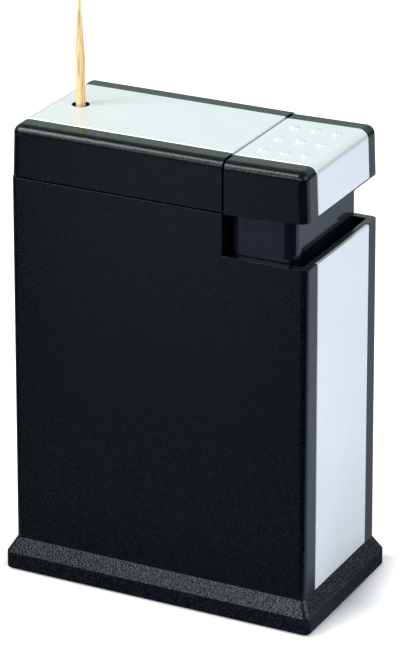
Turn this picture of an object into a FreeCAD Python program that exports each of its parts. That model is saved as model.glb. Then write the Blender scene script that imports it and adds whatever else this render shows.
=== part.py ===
"""Push-button toothpick dispenser: housing on a flared plinth, lift-off lid, sprung button and pick lifter.

Frame: millimetres, origin in the middle of the base on the table, +X towards the button end,
+Y towards the back, +Z up. Everything is drawn with the button up and one pick presented.
"""
import FreeCAD, Part
import math
import os

V = FreeCAD.Vector

# ---------------------------------------------------------------- housing and plinth
shell_length = 69.5        # along X, at the lid seam
shell_depth = 35.4         # along Y, at the lid seam
shell_draft = 0.32         # degrees; the walls widen downwards
shell_corner = 1.5         # upright outer corners
least_corner = 0.4         # inner corners are never sharper
shell_wall = 1.85
shell_top = 91.95          # outer rim under the lid
rim_step = 0.4             # raised inner rim that carries the lid and makes the shadow gap
rim_width = 1.0
notch_floor = 82.7         # rim under the button
foot_clearance = 0.3       # the plinth stands this far off the table, on its pads
plinth_side_top = 4.2
plinth_top = 7.5
plinth_overhang = 1.8      # beyond the foot of the shell
plinth_edge = 0.3          # bevel of the bottom edge
plinth_floor = 2.4         # upper side of the floor
lip_height = 2.6           # upstand that locates the shell on the plinth
lip_wall = 1.1
lip_play = 0.12            # between the upstand and the shell

# ---------------------------------------------------------------- lid and button hoods
button_length = 19.3       # from the middle of the gap to the button end
split_gap = 0.4
partition_wall = 1.45      # wall of the housing under the lid's end
partition_play = 0.05      # the partition stands this far out from under the lid
hood_top = 103.7           # black top of the lid
hood_wall = 1.8
hood_roof = 1.9
lid_gap_wall = 1.6         # the lid's wall beside the button
cap_gap_wall = 1.4         # the button's wall beside the lid
cap_side_wall = 1.6
hood_round = 2.0           # top edges
hood_end_draft = 2.4       # degrees, on the two ends
skirt_drop = 0.45          # the button's skirt starts this far under the lid's lower edge
skirt_rise = 0.9           # and rises by this much to the finger end
pad_dip = 0.3              # the finger pad is this much lower beside the lid
lid_lip = 2.85             # locating lip inside the housing rim
lid_lip_wall = 1.0
lid_lip_play = 0.15
lid_lip_corner = 0.8
lid_shoulder = (0.3, 2.2)  # heights over the lid's lower edge where the lip joins the wall

# ---------------------------------------------------------------- bright trim
trim_width = 25.2
trim_thickness = 0.8
trim_proud = 0.15
trim_bevel = 0.13          # round the bright face of every trim
trim_lift = 0.35           # lower end of a trim above the hood's edge
glue_line = 0.05           # under every trim
edge_gap = 0.1             # beside every trim
panel_width = 25.5
panel_bottom = 7.95
nub_pitch_x = 4.85
nub_pitch_y = 7.6
nub_radius = 1.05
nub_crown = 0.5            # radius of a nub's top
nub_height = 0.38
nub_inset = 10.15          # middle of the nubs from the button end
nub_count = 3              # each way
nub_sides = 20             # flats that a nub is drawn with

# ---------------------------------------------------------------- pick, cup and lift
pick_length = 65.0
pick_diameter = 2.1
pick_tip = 0.6             # flat end of each point
pick_sides = 24            # flats that the pick and its cup are drawn with
pick_taper = 13.0
pick_showing = 23.7        # above the bright top at rest
pick_inset = 7.55          # axis of the pick from the lid end
hole_diameter = 3.85       # in the bright top
guide_bore = 3.4           # in the lid and in the magazine
guide_boss = 6.4
guide_boss_drop = 4.0
pick_lift = 28.0
cup_diameter = 2.8
cup_bore = 1.7
cup_depth = 1.2
cup_height = 3.7
cup_bevel = 0.4
rod_diameter = 2.0

# ---------------------------------------------------------------- button drive and lever
button_travel = 8.5
pivot_inset = 4.75         # lever's axle from the button end
pivot_pin_diameter = 3.0
drive_pin_diameter = 1.6
lifter_pin_diameter = 1.4
shaft_fit = 0.05           # radial, turning
pin_fit = 0.02             # radial, pins pressed into cheeks and screws in their bores
slot_play = 0.2            # each side of a pin in its slot
lever_arm_thickness = 2.6
lever_hub_width = 3.8
lever_hub_radius = 2.9
lever_root_radius = 2.7
lever_end_radius = 1.7
lever_web = 1.2            # between the two pockets of the arm
lever_rim = 0.8            # left round the pockets
lever_rib = 1.5            # between two pockets
pocket_margin = 4.2        # from a pin's centre to the next pocket
pocket_count = 2           # beyond the drive pin
pin_floor_gap = 2.0        # lowest lifter pin above the plinth floor
cheek_gap = 0.7            # beside the lever arm
cheek_thickness = 1.5
link_width = 3.0           # along X
link_eye = 2.2
link_screw_y = 2.0
link_screw_bite = 6.0
link_bridge = 10.0         # solid part of the link under the stem
bore_relief = 0.5          # blind screw bores run on this far

# ---------------------------------------------------------------- stem, spring and its seat
stem_face_gap = 0.25       # from the middle of the split to the stem
stem_end_gap = 3.65        # from the stem to the button end
stem_side_gap = 2.2        # from the stem to the housing's front and back faces
stem_corner = 2.6
stem_wall = 1.6
stem_neck_top = 91.6       # above this the left side steps in to clear the cap
stem_neck_step = 1.6
plug_depth = 5.0           # the cap's spigot in the stem's mouth
plug_wall = 1.2
press_play = 0.05
spring_link_gap = 0.9      # between the drive link and the spring
spring_wall_gap = 0.3      # between the spring and the stem's wall
spring_wire = 0.8
spring_length = 30.0
spring_turns = 6
spring_chords = 12         # straight stretches to a turn
spring_sides = 6           # flats round the wire
seat_top = 45.6
seat_thickness = 1.6
seat_clearance = 0.9       # left under the stem when the button is down
seat_start = 1.0           # the seat begins this far behind the drive link
seat_corner = 0.6
post_play = 0.5            # radial, inside the spring
post_height = 5.0
stop_screw_diameter = 3.0
stop_head_diameter = 6.0
stop_head_height = 2.0
stop_hole_play = 0.15
stop_tip_gap = 0.4         # the stop screw ends above the seat's underside
ledge_depth = 2.6
ledge_reach = 2.2
ledge_root = 0.6           # how deep a ledge is bedded in the wall
ledge_setback = 5.5        # from the ends of what stands on it

# ---------------------------------------------------------------- magazine and lifter guide
magazine_wall = 1.3
magazine_floor = 1.0
magazine_slope = 2.0       # degrees, down to the pick channel
magazine_play = 0.3        # to the housing
magazine_top = 88.8
neck_width = 2.6           # lets one pick into the channel
bow_run = 14.2             # from the pick's axis to where the side walls start to close in
bridge_thickness = 1.0
part_gap = 0.25            # between pieces that pass each other
rail_top = 48.0
rail_back = 0.8
rail_side = 1.4
rail_lip = 0.7
tongue_width = 5.0
tongue_thickness = 0.8
tongue_height = 13.0
neck_half = 1.6
slide_fit = 0.1
rail_foot_reach = 4.4      # to each side of the rail
rail_foot_front = 3.6      # in front of the rail
rail_foot_height = 1.5
neck_height = 7.0          # of the carriage's neck
bridge_front = 1.5         # the bridge ends this far in front of the rod's axis

# ---------------------------------------------------------------- pads and screws
pad_diameter = 8.0
pad_thickness = 1.1
pad_bevel = 0.25
pad_sides = 20             # flats that a pad is drawn with
pad_inset_x = 10.75        # from the housing's ends
pad_inset_y = 8.2          # from its front and back
boss_radius = 3.0
boss_inset_x = 4.05        # from the housing's ends
boss_inset_y = 4.0         # from its front and back
boss_height = 13.0
boss_roof = 1.5            # left over the screw's bore
boss_sides = 16            # flats that a boss is drawn with
base_screw_diameter = 2.5
base_screw_head = 4.6
base_screw_head_height = 1.3
base_screw_length = 11.0
small_screw_diameter = 1.8
small_screw_head = 3.4
small_screw_head_height = 1.0
small_screw_bite = 1.2
screw_sides = 12           # flats that screws and their bores are drawn with
screw_hole_play = 0.1      # radial, where a shank passes freely
screw_head_play = 0.2      # radial, round a sunk head
head_taper = 0.8           # a head's crown against its seat
slot_reach = 0.7           # share of a head's radius that its slot takes
slot_half = 0.3
slot_depth = 0.45
bracket_foot = 1.2
bracket_ear = 1.2
bracket_reach = 8.4
bracket_behind = 4.4       # from the axle towards the lid
bracket_before = 1.8       # and towards the button end
bracket_corner = 1.0
ear_radius = 1.8
ear_reach = 2.9            # from the axle, at the foot of an ear
pin_head_reach = 0.8       # radial, and its thickness
pin_end = 0.5              # the axle's plain end beyond the ear
bracket_screw_y = 6.2

# ---------------------------------------------------------------- worked-out places
half_length = shell_length / 2
half_depth = shell_depth / 2
outside = shell_length      # far enough out for any cutting body
over = 1.0                  # cutting bodies stand this proud of what they cut
split_x = half_length - button_length
pick_x = pick_inset - half_length
pivot_x = half_length - pivot_inset
lid_bottom = shell_top + rim_step
lid_end = split_x - split_gap / 2
cap_start = split_x + split_gap / 2
partition_face = lid_end + partition_play
partition_back = partition_face - partition_wall
stem_left = split_x + stem_face_gap
stem_right = half_length - stem_end_gap
stem_depth = shell_depth - 2 * stem_side_gap
trim_top = hood_top + trim_proud
trim_bed = trim_thickness - trim_proud + glue_line
cup_floor = trim_top + pick_showing - pick_length
cup_top = cup_floor + cup_depth
cup_bottom = cup_top - cup_height
ratio = pick_lift / button_travel
lifter_reach = pivot_x - pick_x
drive_reach = lifter_reach / ratio
drive_x = pivot_x - drive_reach
pin_pressed = plinth_floor + pin_floor_gap
pin_rest = pin_pressed + pick_lift
pivot_z = (pin_pressed + pin_rest) / 2
lever_angle = math.degrees(math.atan2(pick_lift / 2, lifter_reach))
drive_pin_z = pivot_z + button_travel / 2
lever_slope = math.tan(math.radians(lever_angle)) + (lever_root_radius - lever_end_radius) / lifter_reach
bridge_bottom = (pin_rest + lever_end_radius / math.cos(math.radians(lever_angle))
                 + bridge_front * lever_slope + part_gap)
bridge_top = bridge_bottom + bridge_thickness
magazine_bottom = bridge_top + part_gap
channel_floor = magazine_bottom + magazine_floor
stem_bottom = seat_top + button_travel + seat_clearance
web_bottom = seat_top + spring_length
web_top = web_bottom + stem_wall
roof_under = hood_top - pad_dip - hood_roof
cheek_inner = lever_arm_thickness / 2 + cheek_gap
cheek_outer = cheek_inner + cheek_thickness
rail_front = pick_x - guide_bore / 2 - magazine_wall - part_gap
tongue_front = rail_front - rail_lip - slide_fit
tongue_back = tongue_front - tongue_thickness
rail_rear = tongue_back - slide_fit - rail_back
link_left = stem_left + stem_wall
link_right = link_left + link_width
spring_left = link_right + spring_link_gap
spring_right = stem_right - stem_wall - spring_wall_gap
spring_x = (spring_left + spring_right) / 2
spring_mean = spring_right - spring_left - spring_wire
seat_left = link_right + seat_start
bracket_left = pivot_x - bracket_behind
bracket_right = pivot_x + bracket_before


# ---------------------------------------------------------------- shapes used again and again
def box(x0, x1, y0, y1, z0, z1):
    """Block between its limits."""
    return Part.makeBox(x1 - x0, y1 - y0, z1 - z0, V(x0, y0, z0))


def rod(x, y, z0, z1, radius):
    """Upright cylinder."""
    return Part.makeCylinder(radius, z1 - z0, V(x, y, z0))


def flat_face(corners):
    """Flat face within its corners."""
    return Part.Face(Part.makePolygon(corners + corners[:1]))


def faceted(x, y, steps, sides):
    """Upright turned form drawn with flats: a ring of corners at each (height, radius) step."""
    rings = []
    for z, radius in steps:
        angles = [math.tau * (i + 0.5) / sides for i in range(sides)]
        rings.append([V(x + radius * math.cos(angle), y + radius * math.sin(angle), z) for angle in angles])
    faces = [flat_face(rings[0]), flat_face(rings[-1])]
    for low, high in zip(rings, rings[1:]):
        for i in range(sides):
            faces.append(flat_face([low[i - 1], low[i], high[i], high[i - 1]]))
    return Part.Solid(Part.Shell(faces))


def bore(x, y, z0, z1, radius):
    """Cutting body for a screw's bore."""
    return faceted(x, y, [(z0, radius), (z1, radius)], screw_sides)


def rounded_wire(half_x, half_y, radius, z):
    """Rectangle with round corners, as a closed wire at a height."""
    corners = []
    for quarter, (sx, sy) in enumerate([(1, 1), (-1, 1), (-1, -1), (1, -1)]):
        points = []
        for eighth in (0, 1, 2):
            angle = math.radians(90 * quarter + 45 * eighth)
            points.append(V(sx * (half_x - radius) + radius * math.cos(angle),
                            sy * (half_y - radius) + radius * math.sin(angle), z))
        corners.append(points)
    edges = []
    for here, after in zip(corners, corners[1:] + corners[:1]):
        edges += [Part.Arc(*here).toShape(), Part.makeLine(here[2], after[0])]
    return Part.Wire(edges)


def cross_rod(x, z, radius, half_width):
    """Cylinder across the object, along Y."""
    return Part.makeCylinder(radius, 2 * half_width, V(x, -half_width, z), V(0, 1, 0))


def side_prism(points, y0, y1):
    """Side outline of (x, z) points, pulled along Y."""
    wire = Part.makePolygon([V(x, y0, z) for x, z in points + points[:1]])
    return Part.Face(wire).extrude(V(0, y1 - y0, 0))


def plan_prism(points, z0, z1):
    """Plan outline of (x, y) points, pulled up."""
    wire = Part.makePolygon([V(x, y, z0) for x, y in points + points[:1]])
    return Part.Face(wire).extrude(V(0, 0, z1 - z0))


def frustum(low_x, low_y, z0, high_x, high_y, z1):
    """Straight-sided block whose half sizes change from bottom to top."""
    wedge = Part.makeWedge(-low_x, z0, -low_y, -high_y, -high_x, low_x, z1, low_y, high_y, high_x)
    wedge.rotate(V(0, 0, 0), V(1, 0, 0), 90)
    return wedge


def upright_edges(shape):
    """Edges that rise, straight up or on a slope."""
    found = []
    for edge in shape.Edges:
        start = edge.Vertexes[0].Point
        end = edge.Vertexes[-1].Point
        if abs(end.z - start.z) > edge.Length / 2:
            found.append(edge)
    return found


def round_upright(shape, radius):
    """Round every rising edge."""
    return shape.makeFillet(radius, upright_edges(shape))


def shell_half(z, grow):
    """Half length and half depth of the drafted housing at a height, moved out by grow."""
    spread = (shell_top - z) * math.tan(math.radians(shell_draft)) + grow
    return half_length + spread, half_depth + spread


def drafted_block(z0, z1, grow):
    """The housing's outer form between two heights, moved out by grow, with round corners."""
    low_x, low_y = shell_half(z0, grow)
    high_x, high_y = shell_half(z1, grow)
    block = frustum(low_x, low_y, z0, high_x, high_y, z1)
    return round_upright(block, max(shell_corner + grow, least_corner))


def screw(x, y, z_head, down, radius, length, head_radius, head_height):
    """Pan-head screw; z_head is the face under the head, down is -1 where the shank points down."""
    crown = z_head - down * head_height
    shank = faceted(x, y, [(z_head, radius), (z_head + down * length, radius)], screw_sides)
    head = faceted(x, y, [(z_head, head_radius), (crown, head_radius * head_taper)], screw_sides)
    reach = head_radius * slot_reach
    slot = box(x - reach, x + reach, y - slot_half, y + slot_half, crown - slot_depth, crown + slot_depth)
    return head.fuse(shank).cut(slot).removeSplitter()


def corners_of(x, y):
    """The four corners of a rectangle round the origin."""
    return [(sx * x, sy * y) for sx in (-1, 1) for sy in (-1, 1)]


def bright_edges(plate, backing):
    """Edges of a glued plate that lie on its bright side, without the seams of its bend."""
    chosen = []
    for edge in plate.Edges:
        middle = edge.CenterOfMass
        seam = abs(middle.y) < 1 and middle.z > hood_top - hood_round - over and abs(middle.x - split_x) > 1
        if not seam and edge.distToShape(backing)[0] > trim_thickness / 2:
            chosen.append(edge)
    return chosen


def base_screw_places():
    """Plan positions of the four screws that hold the plinth to the housing."""
    return corners_of(half_length - boss_inset_x, half_depth - boss_inset_y)


def pad_places():
    """Plan positions of the four rubber pads."""
    return corners_of(half_length - pad_inset_x, half_depth - pad_inset_y)


def frame_screw_places():
    """Plan position and seat height of the screws that hold the bracket and the rail."""
    rail_y = tongue_width / 2 + slide_fit + rail_side + rail_foot_reach / 2
    bracket_mid = (bracket_left + bracket_right) / 2
    rail_mid = rail_front + rail_foot_front / 2
    bracket = [(bracket_mid, s * bracket_screw_y, plinth_floor + bracket_foot) for s in (-1, 1)]
    rail = [(rail_mid, s * rail_y, plinth_floor + rail_foot_height) for s in (-1, 1)]
    return bracket + rail


# ---------------------------------------------------------------- housing
def ledges(x0, x1, z_top):
    """A pair of ribs on the long inner walls whose tops carry an insert."""
    inner_y = shell_half(z_top, -shell_wall)[1]
    pair = []
    for side in (-1, 1):
        profile = [(side * (inner_y + ledge_root), z_top), (side * (inner_y - ledge_reach), z_top),
                   (side * (inner_y + ledge_root), z_top - ledge_depth)]
        wire = Part.makePolygon([V(x0, y, z) for y, z in profile + profile[:1]])
        pair.append(Part.Face(wire).extrude(V(x1 - x0, 0, 0)))
    return pair


def panel_slab(front, back, half_width, z0, z1):
    """Slice of the button end wall between two depths, as wide as given."""
    slab = drafted_block(z0, z1, front).cut(drafted_block(z0 - over, z1 + over, back))
    return slab.common(box(0, outside, -half_width, half_width, z0, z1))


def housing_shell():
    """Drafted tube with the button notch, the partition, ledges and screw bosses."""
    shell = drafted_block(plinth_top, shell_top, 0)
    rim = drafted_block(shell_top - over, lid_bottom, rim_width - shell_wall)
    shell = shell.fuse(rim)
    shell = shell.cut(drafted_block(plinth_top - over, lid_bottom + over, -shell_wall))
    inner_y = shell_half(shell_top, rim_width / 2 - shell_wall)[1]
    partition = box(partition_back, partition_face, -inner_y, inner_y, stem_bottom, shell_top)
    step = box(partition_back, partition_back + rim_width, -inner_y, inner_y, shell_top, lid_bottom)
    shell = shell.fuse([partition, step])
    shell = shell.cut(box(partition_face, outside, -half_depth - over, half_depth + over,
                          notch_floor, lid_bottom + over))
    parts = ledges(pick_x + bow_run - ledge_setback, partition_back - ledge_setback, magazine_bottom)
    parts += ledges(seat_left, stem_right, seat_top - seat_thickness)
    for x, y in base_screw_places():
        parts.append(faceted(x, y, [(plinth_floor, boss_radius), (plinth_floor + boss_height, boss_radius)],
                             boss_sides))
    shell = shell.fuse(parts)
    for x, y in base_screw_places():
        shell = shell.cut(bore(x, y, plinth_floor - over, plinth_floor + boss_height - boss_roof,
                               base_screw_diameter / 2 + pin_fit))
    bed = panel_slab(over, -trim_bed, panel_width / 2 + edge_gap, panel_bottom - edge_gap, notch_floor + over)
    return shell.cut(bed).removeSplitter()


def end_panel():
    """Bright plate let into the button end of the housing."""
    back = trim_proud - trim_thickness
    slab = panel_slab(trim_proud, back, panel_width / 2, panel_bottom, notch_floor - edge_gap)
    slab = slab.removeSplitter()
    return slab.makeChamfer(trim_bevel, bright_edges(slab, drafted_block(panel_bottom, notch_floor, back)))


# ---------------------------------------------------------------- plinth
def plinth_outer():
    """Upright side, chamfer up to the shell, rounded corners and lower edge."""
    top_x, top_y = shell_half(plinth_top, 0)
    side_x = top_x + plinth_overhang
    side_y = top_y + plinth_overhang
    low_x = side_x - plinth_edge
    low_y = side_y - plinth_edge
    levels = [rounded_wire(low_x, low_y, shell_corner - plinth_edge, foot_clearance),
              rounded_wire(side_x, side_y, shell_corner, foot_clearance + plinth_edge),
              rounded_wire(side_x, side_y, shell_corner, plinth_side_top),
              rounded_wire(top_x, top_y, shell_corner, plinth_top)]
    return Part.makeLoft(levels, True, True)


def base_plinth():
    """Tray-shaped base with a locating upstand, pad pockets and screw seats."""
    base = plinth_outer()
    lip_top = plinth_top + lip_height
    lip = drafted_block(plinth_top - over, lip_top, -shell_wall - lip_play)
    base = base.fuse(lip)
    base = base.cut(drafted_block(plinth_floor, lip_top + over, -shell_wall - lip_play - lip_wall))
    room = boss_radius + lip_play
    for x, y in base_screw_places():
        base = base.cut(faceted(x, y, [(plinth_floor, room), (lip_top + over, room)], boss_sides))
        base = base.cut(bore(x, y, 0, plinth_floor + over, base_screw_diameter / 2 + screw_hole_play))
        base = base.cut(bore(x, y, 0, foot_clearance + base_screw_head_height,
                             base_screw_head / 2 + screw_head_play))
    pocket = pad_diameter / 2 + edge_gap
    for x, y in pad_places():
        base = base.cut(faceted(x, y, [(0, pocket), (pad_thickness, pocket)], pad_sides))
    for x, y, seat in frame_screw_places():
        base = base.cut(bore(x, y, plinth_floor - small_screw_bite, plinth_floor + over,
                             small_screw_diameter / 2 + pin_fit))
    side = tongue_width / 2 + slide_fit + rail_side + rail_foot_reach + lip_play
    base = base.cut(box(rail_rear - lip_play, rail_front, -side, side, plinth_floor, lip_top + over))
    return base.removeSplitter()


def rubber_pads():
    """Four round pads that the dispenser stands on."""
    radius = pad_diameter / 2
    steps = [(0, radius - pad_bevel), (pad_bevel, radius), (pad_thickness, radius)]
    return Part.makeCompound([faceted(x, y, steps, pad_sides) for x, y in pad_places()])


def base_screws():
    """Four screws up through the plinth floor into the housing bosses."""
    seat = foot_clearance + base_screw_head_height
    made = [screw(x, y, seat, 1, base_screw_diameter / 2, base_screw_length, base_screw_head / 2,
                  base_screw_head_height - screw_hole_play) for x, y in base_screw_places()]
    return Part.makeCompound(made)


def frame_screws():
    """Four small screws that hold the pivot bracket and the lifter rail to the plinth floor."""
    made = []
    for x, y, seat in frame_screw_places():
        length = seat - plinth_floor + small_screw_bite - part_gap / 2
        made.append(screw(x, y, seat, -1, small_screw_diameter / 2, length, small_screw_head / 2,
                          small_screw_head_height))
    return Part.makeCompound(made)


# ---------------------------------------------------------------- lid
def end_shift(height):
    """How far a drafted hood end leans in over a height."""
    return height * math.tan(math.radians(hood_end_draft))


def lid_outline(grow, z0):
    """Side outline of the lid from z0 up, with its end and top moved out by grow."""
    top = hood_top + grow
    foot_x = -(half_length + grow - end_shift(z0 - lid_bottom))
    head_x = -(half_length + grow - end_shift(top - lid_bottom))
    return [(foot_x, z0), (lid_end, z0), (lid_end, top), (head_x, top)]


def cap_outline(grow, drop):
    """Side outline of the button cap, end and top moved out by grow, bottom moved down by drop."""
    foot_z = lid_bottom - skirt_drop - drop
    top_near = hood_top - pad_dip + grow
    top_far = hood_top + grow
    foot_x = half_length + grow
    head_x = foot_x - end_shift(top_far - lid_bottom)
    return [(cap_start, foot_z), (foot_x, foot_z + skirt_rise), (head_x, top_far), (cap_start, top_near)]


def hood_edges(shape, end_x):
    """Edges of a hood to round: along its top, across its end, and the two end corners."""
    chosen = []
    for edge in shape.Edges:
        middle = edge.CenterOfMass
        start = edge.Vertexes[0].Point
        end = edge.Vertexes[-1].Point
        near_end = abs(middle.x - end_x) < hood_round
        along_top = middle.z > hood_top - hood_round and (abs(start.x - end.x) > hood_round or near_end)
        corner = near_end and abs(start.z - end.z) > hood_round
        if along_top or corner:
            chosen.append(edge)
    return chosen


def hood(outline, end_x):
    """Solid hood: side outline pulled to full depth, with one radius on its top and end edges."""
    block = side_prism(outline, -half_depth, half_depth)
    return block.makeFillet(hood_round, hood_edges(block, end_x))


def trim_strip(outer, inner, end_x, half_width, grow_out, grow_in):
    """Bent strip between two offset side outlines, rounded over the end edge, and what it lies on."""
    made = []
    for outline, grow in ((outer, grow_out), (inner, grow_in)):
        block = side_prism(outline, -half_width, half_width)
        bend = [e for e in block.Edges
                if abs(e.CenterOfMass.x - end_x) < hood_round and e.CenterOfMass.z > hood_top - hood_round
                and abs(e.Vertexes[0].Y - e.Vertexes[-1].Y) > half_width]
        made.append(block.makeFillet(hood_round + grow, bend))
    return made[0].cut(made[1]), made[1]


def lid_strip(front, back, half_width, z0):
    """Strip over the lid's top and down its end between two depths, and what it lies on."""
    outer = lid_outline(front, z0)
    inner = lid_outline(back, z0 - over)
    inner[1] = (lid_end + over, inner[1][1])
    inner[2] = (lid_end + over, inner[2][1])
    return trim_strip(outer, inner, -half_length, half_width, front, back)


def cap_strip(front, back, half_width, lift):
    """Strip over the button's top and down its end between two depths, and what it lies on."""
    outer = cap_outline(front, -lift)
    inner = cap_outline(back, over)
    slope = pad_dip / (inner[2][0] - cap_start)
    inner[0] = (cap_start - over, inner[0][1])
    inner[3] = (cap_start - over, inner[3][1] - over * slope)
    return trim_strip(outer, inner, half_length, half_width, front, back)


def lid_shell():
    """Hollow hood with a locating lip, a bed for the trim and a guide boss for the pick."""
    lid = hood(lid_outline(0, lid_bottom), -half_length)
    outer = lid.copy()
    room = lid_outline(-hood_wall, lid_bottom - over)
    room = [room[0], (lid_end - lid_gap_wall, room[0][1]), (lid_end - lid_gap_wall, hood_top - hood_roof),
            (room[3][0], hood_top - hood_roof)]
    inner_y = half_depth - hood_wall
    lid = lid.cut(side_prism(room, -inner_y, inner_y))
    lip_x, lip_y = shell_half(shell_top, -shell_wall - lid_lip_play)
    lip_end = partition_back - lid_lip_play
    low, high = (lid_bottom + height for height in lid_shoulder)
    lip = round_upright(box(-lip_x, lip_end, -lip_y, lip_y, lid_bottom - lid_lip, high), lid_lip_corner)
    reach = lip_y + 2 * lid_lip_play
    shoulder = box(-lip_x - 2 * lid_lip_play, lip_end, -reach, reach, low, high)
    hollow = box(-lip_x + lid_lip_wall, lip_end - lid_lip_wall, -lip_y + lid_lip_wall, lip_y - lid_lip_wall,
                 lid_bottom - lid_lip - over, high + over)
    lid = lid.fuse(lip.fuse(shoulder.common(outer)).cut(hollow))
    boss = rod(pick_x, 0, hood_top - hood_roof - guide_boss_drop, hood_top - hood_roof / 2, guide_boss / 2)
    bed, _ = lid_strip(over, -trim_bed, trim_width / 2 + edge_gap, lid_bottom + trim_lift - edge_gap)
    guide = rod(pick_x, 0, lid_bottom, trim_top + over, guide_bore / 2)
    return lid.fuse(boss).cut([bed, guide]).removeSplitter()


def lid_trim():
    """Bright strip over the lid, with the hole that the pick comes out of."""
    back = trim_proud - trim_thickness
    strip, backing = lid_strip(trim_proud, back, trim_width / 2, lid_bottom + trim_lift)
    strip = strip.makeChamfer(trim_bevel, bright_edges(strip, backing))
    return strip.cut(rod(pick_x, 0, lid_bottom, trim_top + over, hole_diameter / 2)).removeSplitter()


# ---------------------------------------------------------------- button
def button_cap():
    """Hollow hood of the button with its trim bed."""
    cap = hood(cap_outline(0, 0), half_length)
    inner_y = half_depth - cap_side_wall
    start_x = cap_start + cap_gap_wall
    end_x = half_length - hood_wall
    low = lid_bottom - skirt_drop - over
    room = [(start_x, low), (end_x, low), (end_x - end_shift(roof_under - lid_bottom), roof_under),
            (start_x, roof_under)]
    cap = cap.cut(side_prism(room, -inner_y, inner_y))
    plug = box(*mouth_room(press_play), roof_under - plug_depth, roof_under + hood_roof / 2)
    plug = plug.cut(box(*mouth_room(press_play + plug_wall), roof_under - plug_depth - over, roof_under))
    bed, _ = cap_strip(over, -trim_bed, trim_width / 2 + edge_gap, trim_lift - edge_gap)
    return cap.fuse(plug).cut(bed).removeSplitter()


def button_trim():
    """Bright strip of the button with raised grip nubs."""
    strip, backing = cap_strip(trim_proud, trim_proud - trim_thickness, trim_width / 2, trim_lift)
    strip = strip.makeChamfer(trim_bevel, bright_edges(strip, backing))
    run = half_length - cap_start
    spread = (nub_count - 1) / 2
    root = trim_thickness / 2
    flare = root * (nub_radius - nub_crown) / nub_height
    nubs = []
    for i in range(nub_count):
        for j in range(nub_count):
            x = half_length - nub_inset + (i - spread) * nub_pitch_x
            y = (j - spread) * nub_pitch_y
            face = trim_top - pad_dip * (half_length - x) / run
            steps = [(face - root, nub_radius + flare), (face + nub_height, nub_crown)]
            nubs.append(faceted(x, y, steps, nub_sides))
    return strip.fuse(nubs).removeSplitter()


def mouth_room(inset):
    """Plan limits of the stem's open mouth, moved in by inset."""
    return (stem_left + 2 * stem_wall + inset, stem_right - stem_wall - inset,
            -stem_depth / 2 + stem_wall + inset, stem_depth / 2 - stem_wall - inset)


def button_stem():
    """Hollow plunger under the cap; its inner web carries the spring and the stop."""
    half = stem_depth / 2
    low = round_upright(box(stem_left, stem_right, -half, half, stem_bottom, stem_neck_top), stem_corner)
    high = round_upright(box(stem_left + stem_neck_step, stem_right, -half, half, stem_bottom, roof_under),
                         stem_corner)
    stem = low.fuse(high)
    room = (stem_left + stem_wall, stem_right - stem_wall, -half + stem_wall, half - stem_wall)
    stem = stem.cut([box(*room, stem_bottom - over, web_bottom),
                     box(*room, web_top, stem_neck_top - stem_wall),
                     box(*mouth_room(0), web_top, roof_under + over)])
    low = web_bottom - over
    high = web_top + over
    holes = [bore(spring_x, 0, low, high, stop_screw_diameter / 2 + stop_hole_play)]
    for x, y in link_screw_places():
        holes.append(bore(x, y, low, high, small_screw_diameter / 2 + pin_fit))
    return stem.cut(holes).removeSplitter()


def link_screw_places():
    """Plan positions of the two screws that hold the link under the stem's web."""
    x = link_left + link_width / 2 + screw_head_play
    return [(x, side * link_screw_y) for side in (-1, 1)]


def link_screws():
    """Two small screws down through the stem's web into the link."""
    length = web_top - web_bottom + link_screw_bite
    return Part.makeCompound([screw(x, y, web_top, -1, small_screw_diameter / 2, length, small_screw_head / 2,
                                    small_screw_head_height) for x, y in link_screw_places()])


def drive_link():
    """Fork that hangs from the stem and drives the lever through its pin."""
    limb = box(link_left, link_right, -cheek_outer, cheek_outer, drive_pin_z - link_eye, web_bottom)
    foot = box(drive_x, link_right, -cheek_outer, cheek_outer, drive_pin_z - link_eye, drive_pin_z + link_eye)
    link = limb.fuse([foot, cross_rod(drive_x, drive_pin_z, link_eye, cheek_outer)])
    link = link.cut(box(drive_x - 2 * link_eye, link_right + over, -cheek_inner, cheek_inner,
                        drive_pin_z - 2 * link_eye, web_bottom - link_bridge))
    for x, y in link_screw_places():
        link = link.cut(bore(x, y, web_bottom - link_screw_bite - bore_relief, web_bottom + over,
                             small_screw_diameter / 2 + pin_fit))
    eye = cross_rod(drive_x, drive_pin_z, drive_pin_diameter / 2 + pin_fit, half_depth)
    return link.cut(eye).removeSplitter()


def drive_pin():
    """Steel pin of the drive link."""
    return cross_rod(drive_x, drive_pin_z, drive_pin_diameter / 2, cheek_outer)


def return_spring():
    """Compression spring from the seat to the stem's web, straight between its stations on the helix."""
    thick = spring_wire / 2
    stations = spring_turns * spring_chords
    rings = []
    for station in range(stations + 1):
        turn = math.tau * station / spring_chords
        rise = seat_top + thick + (spring_length - spring_wire) * station / stations
        corners = []
        for side in range(spring_sides):
            angle = math.tau * (side + 0.5) / spring_sides
            reach = spring_mean / 2 + thick * math.cos(angle)
            corners.append(V(spring_x + reach * math.cos(turn), reach * math.sin(turn),
                             rise + thick * math.sin(angle)))
        rings.append(Part.makePolygon(corners + corners[:1]))
    return Part.makeLoft(rings, True, True)


def spring_seat():
    """Shelf across the housing with the post that centres the spring."""
    inner_y = shell_half(seat_top, -shell_wall)[1] - part_gap
    right = shell_half(seat_top, -shell_wall)[0] - part_gap
    plate = box(seat_left, right, -inner_y, inner_y, seat_top - seat_thickness, seat_top)
    post_radius = (spring_mean - spring_wire) / 2 - post_play
    post = rod(spring_x, 0, seat_top, seat_top + post_height, post_radius)
    seat = round_upright(plate, seat_corner).fuse(post)
    return seat.cut(bore(spring_x, 0, seat_top - seat_thickness - over, seat_top + post_height + over,
                         stop_screw_diameter / 2 + pin_fit)).removeSplitter()


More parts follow.
